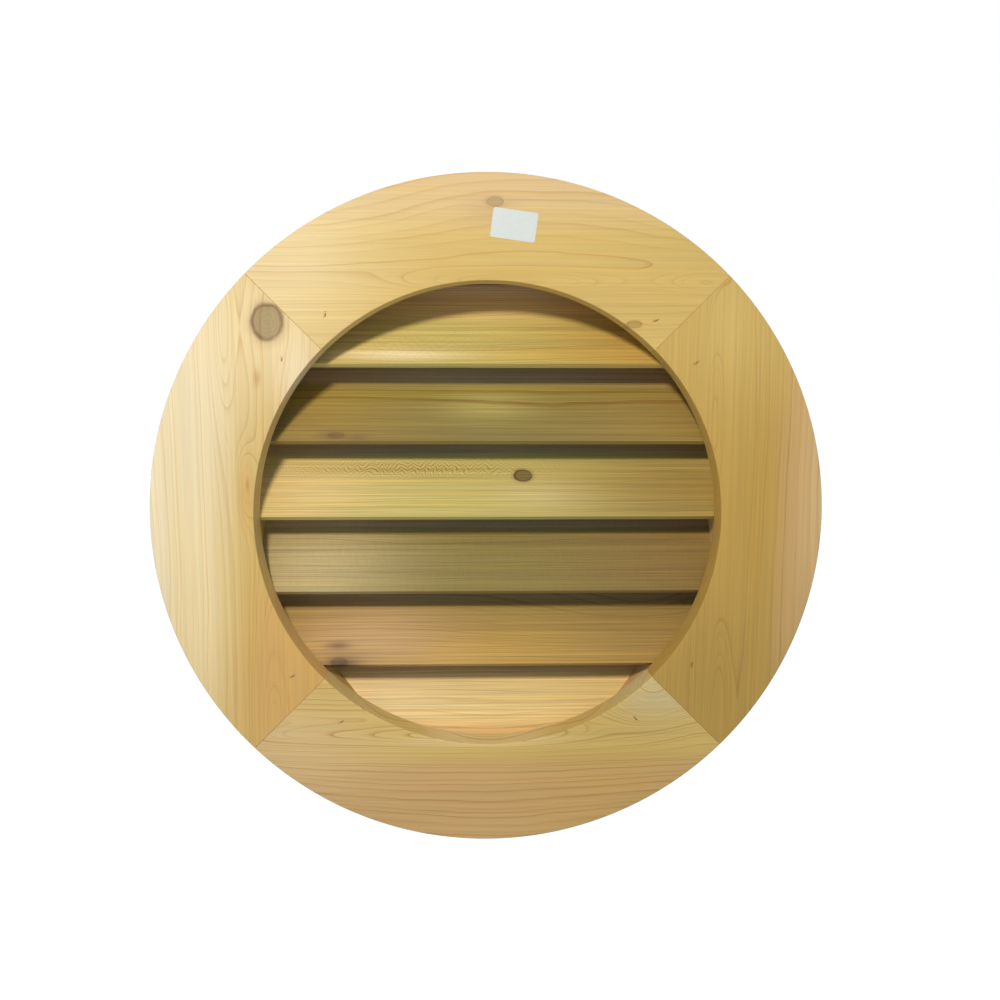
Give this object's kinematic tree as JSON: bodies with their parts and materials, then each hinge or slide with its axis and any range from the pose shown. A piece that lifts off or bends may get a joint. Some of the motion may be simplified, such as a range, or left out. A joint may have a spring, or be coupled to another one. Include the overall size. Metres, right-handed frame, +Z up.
{
  "type": "round gable vent",
  "caption": "Round wooden gable vent: a flat mitred ring frame around sloping louvres that sit in grooves of a shallow body, with wire cloth over the back.",
  "frame": {"origin": "centre of the round vent in the plane of the face frame's back, where it lies on the wall", "axes": "+Z up, +X to the right seen from the front, +Y into the wall; the front looks along -Y"},
  "size_m": [0.5842, 0.0898, 0.5842],
  "materials": {
    "cedar_face": "bare planed cedar, satin, with end-to-end grain and mitre seams",
    "cedar_body": "bare sawn cedar, matte",
    "cedar_louvre": "bare planed cedar, satin, each board its own tone",
    "steel_wire": "bright galvanised wire",
    "screen_wire": "woven wire, dull grey",
    "label_paper": "blank white sticker, slightly satin"
  },
  "bodies": {
    "root": {"face_board_top": "cedar_face", "face_board_right": "cedar_face", "face_board_bottom": "cedar_face", "face_board_left": "cedar_face", "body_board_top": "cedar_body", "body_board_upper_right": "cedar_body", "body_board_right": "cedar_body", "body_board_lower_right": "cedar_body", "body_board_bottom": "cedar_body", "body_board_lower_left": "cedar_body", "body_board_left": "cedar_body", "body_board_upper_left": "cedar_body", "louvre_1": "cedar_louvre", "louvre_2": "cedar_louvre", "louvre_3": "cedar_louvre", "louvre_4": "cedar_louvre", "louvre_5": "cedar_louvre", "louvre_6": "cedar_louvre", "insect_screen": "screen_wire", "face_staples": "steel_wire", "corner_brads": "steel_wire", "louvre_brads": "steel_wire", "screen_staples": "steel_wire"}
  },
  "joints": []
}
